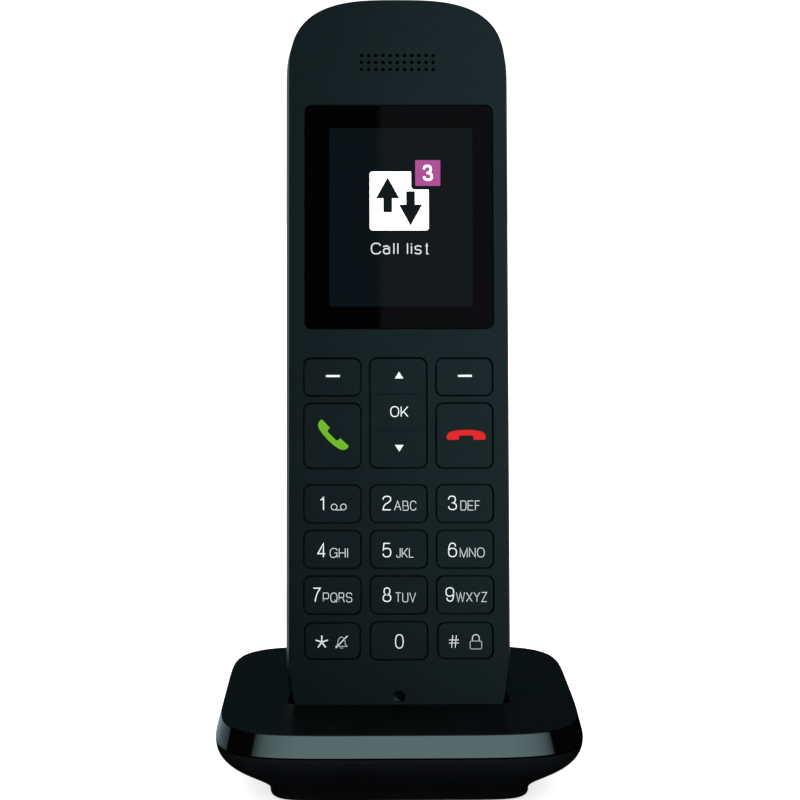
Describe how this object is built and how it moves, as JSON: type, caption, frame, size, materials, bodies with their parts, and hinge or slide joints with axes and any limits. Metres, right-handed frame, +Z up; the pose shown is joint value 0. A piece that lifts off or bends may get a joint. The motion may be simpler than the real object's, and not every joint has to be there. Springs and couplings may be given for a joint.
{
  "type": "cordless telephone with charging cradle",
  "caption": "Slim cordless handset with colour display and keypad, leaning back in a small square charging cradle; keys, battery door and charge pins move.",
  "frame": {"origin": "middle of the cradle underside, on the surface it stands on", "axes": "+Z up, +X to the right of a person facing the keys, -Y towards that person; the handset leans back 10 degrees from +Z towards +Y"},
  "size_m": [0.0794, 0.0794, 0.1702],
  "materials": {
    "case_plastic": "fine satin texture, dark greenish black",
    "key_plastic": "satin key caps, flush with the case",
    "gloss_trim": "polished black band",
    "window": "clear acrylic over a black mask",
    "inner_plastic": "dark engineering plastic",
    "silicone": "translucent grey silicone",
    "circuit_board": "green solder mask",
    "steel": "nickel-plated steel",
    "gold_contact": "gold-plated contact",
    "cell_wrap": "shrink wrap of a small rechargeable cell",
    "rubber_foot": "soft black anti-slip rubber"
  },
  "bodies": {
    "cradle": {"cradle_top_shell": "case_plastic", "charging_well": "case_plastic", "gloss_band": "gloss_trim", "cradle_bottom_shell": "case_plastic", "antislip_mat": "rubber_foot", "charge_board": "circuit_board", "dc_inlet": "inner_plastic", "ballast_left": "steel", "ballast_right": "steel", "cradle_screw_1": "steel", "cradle_screw_2": "steel", "cradle_screw_3": "steel", "cradle_screw_4": "steel", "pin_barrel_left": "steel", "pin_barrel_right": "steel"},
    "handset": {"front_housing": "case_plastic", "rear_housing": "case_plastic", "display_window": "window", "display_module": "inner_plastic", "earpiece_speaker": "inner_plastic", "microphone": "steel", "ringer_speaker": "inner_plastic", "keypad_mat": "silicone", "main_board": "circuit_board", "rf_shield": "steel", "battery_tray": "inner_plastic", "battery_cell_left": "cell_wrap", "battery_cell_right": "cell_wrap", "contact_bridge": "steel", "contact_left": "steel", "contact_right": "steel", "charge_contact_left": "gold_contact", "charge_contact_right": "gold_contact", "case_screw_left": "steel", "case_screw_right": "steel"},
    "door": {"battery_door": "case_plastic"},
    "key_1_body": {"key_1": "key_plastic"},
    "key_2_body": {"key_2": "key_plastic"},
    "key_3_body": {"key_3": "key_plastic"},
    "key_4_body": {"key_4": "key_plastic"},
    "key_5_body": {"key_5": "key_plastic"},
    "key_6_body": {"key_6": "key_plastic"},
    "key_7_body": {"key_7": "key_plastic"},
    "key_8_body": {"key_8": "key_plastic"},
    "key_9_body": {"key_9": "key_plastic"},
    "key_star_body": {"key_star": "key_plastic"},
    "key_0_body": {"key_0": "key_plastic"},
    "key_hash_body": {"key_hash": "key_plastic"},
    "softkey_left_body": {"softkey_left": "key_plastic"},
    "softkey_right_body": {"softkey_right": "key_plastic"},
    "call_key_body": {"call_key": "key_plastic"},
    "end_key_body": {"end_key": "key_plastic"},
    "nav_pivot_body": {"nav_pivot": "inner_plastic"},
    "nav_key_body": {"nav_key": "key_plastic"},
    "charge_pin_left_body": {"charge_pin_left": "gold_contact"},
    "charge_pin_right_body": {"charge_pin_right": "gold_contact"}
  },
  "joints": [
    {"name": "handset_lift", "type": "slide", "parent": "cradle", "child": "handset", "axis": [0, 0.1736, 0.9848], "range_m": [0, 0.06]},
    {"name": "door_open", "type": "hinge", "parent": "handset", "child": "door", "pos_m": [0, 0.00864, 0.02185], "axis": [-1, 0, 0], "range_deg": [0, 60]},
    {"name": "key_1_press", "type": "slide", "parent": "handset", "child": "key_1_body", "axis": [0, 0.9848, -0.1736], "range_m": [0, 0.0005], "stiffness_N_per_m": 300, "springref_m": -0.0005},
    {"name": "key_2_press", "type": "slide", "parent": "handset", "child": "key_2_body", "axis": [0, 0.9848, -0.1736], "range_m": [0, 0.0005], "stiffness_N_per_m": 300, "springref_m": -0.0005},
    {"name": "key_3_press", "type": "slide", "parent": "handset", "child": "key_3_body", "axis": [0, 0.9848, -0.1736], "range_m": [0, 0.0005], "stiffness_N_per_m": 300, "springref_m": -0.0005},
    {"name": "key_4_press", "type": "slide", "parent": "handset", "child": "key_4_body", "axis": [0, 0.9848, -0.1736], "range_m": [0, 0.0005], "stiffness_N_per_m": 300, "springref_m": -0.0005},
    {"name": "key_5_press", "type": "slide", "parent": "handset", "child": "key_5_body", "axis": [0, 0.9848, -0.1736], "range_m": [0, 0.0005], "stiffness_N_per_m": 300, "springref_m": -0.0005},
    {"name": "key_6_press", "type": "slide", "parent": "handset", "child": "key_6_body", "axis": [0, 0.9848, -0.1736], "range_m": [0, 0.0005], "stiffness_N_per_m": 300, "springref_m": -0.0005},
    {"name": "key_7_press", "type": "slide", "parent": "handset", "child": "key_7_body", "axis": [0, 0.9848, -0.1736], "range_m": [0, 0.0005], "stiffness_N_per_m": 300, "springref_m": -0.0005},
    {"name": "key_8_press", "type": "slide", "parent": "handset", "child": "key_8_body", "axis": [0, 0.9848, -0.1736], "range_m": [0, 0.0005], "stiffness_N_per_m": 300, "springref_m": -0.0005},
    {"name": "key_9_press", "type": "slide", "parent": "handset", "child": "key_9_body", "axis": [0, 0.9848, -0.1736], "range_m": [0, 0.0005], "stiffness_N_per_m": 300, "springref_m": -0.0005},
    {"name": "key_star_press", "type": "slide", "parent": "handset", "child": "key_star_body", "axis": [0, 0.9848, -0.1736], "range_m": [0, 0.0005], "stiffness_N_per_m": 300, "springref_m": -0.0005},
    {"name": "key_0_press", "type": "slide", "parent": "handset", "child": "key_0_body", "axis": [0, 0.9848, -0.1736], "range_m": [0, 0.0005], "stiffness_N_per_m": 300, "springref_m": -0.0005},
    {"name": "key_hash_press", "type": "slide", "parent": "handset", "child": "key_hash_body", "axis": [0, 0.9848, -0.1736], "range_m": [0, 0.0005], "stiffness_N_per_m": 300, "springref_m": -0.0005},
    {"name": "softkey_left_press", "type": "slide", "parent": "handset", "child": "softkey_left_body", "axis": [0, 0.9848, -0.1736], "range_m": [0, 0.0005], "stiffness_N_per_m": 300, "springref_m": -0.0005},
    {"name": "softkey_right_press", "type": "slide", "parent": "handset", "child": "softkey_right_body", "axis": [0, 0.9848, -0.1736], "range_m": [0, 0.0005], "stiffness_N_per_m": 300, "springref_m": -0.0005},
    {"name": "call_key_press", "type": "slide", "parent": "handset", "child": "call_key_body", "axis": [0, 0.9848, -0.1736], "range_m": [0, 0.0005], "stiffness_N_per_m": 300, "springref_m": -0.0005},
    {"name": "end_key_press", "type": "slide", "parent": "handset", "child": "end_key_body", "axis": [0, 0.9848, -0.1736], "range_m": [0, 0.0005], "stiffness_N_per_m": 300, "springref_m": -0.0005},
    {"name": "nav_press", "type": "slide", "parent": "handset", "child": "nav_pivot_body", "axis": [0, 0.9848, -0.1736], "range_m": [0, 0.0004], "stiffness_N_per_m": 300, "springref_m": -0.0005},
    {"name": "nav_rock", "type": "hinge", "parent": "nav_pivot_body", "child": "nav_key_body", "pos_m": [0, 0.0001, 0.0791], "axis": [1, 0, 0], "range_deg": [-2, 2], "stiffness_Nm_per_rad": 0.03},
    {"name": "charge_pin_left_press", "type": "slide", "parent": "cradle", "child": "charge_pin_left_body", "axis": [0, -0.1736, -0.9848], "range_m": [0, 0.001], "stiffness_N_per_m": 200, "springref_m": -0.0005},
    {"name": "charge_pin_right_press", "type": "slide", "parent": "cradle", "child": "charge_pin_right_body", "axis": [0, -0.1736, -0.9848], "range_m": [0, 0.001], "stiffness_N_per_m": 200, "springref_m": -0.0005}
  ]
}
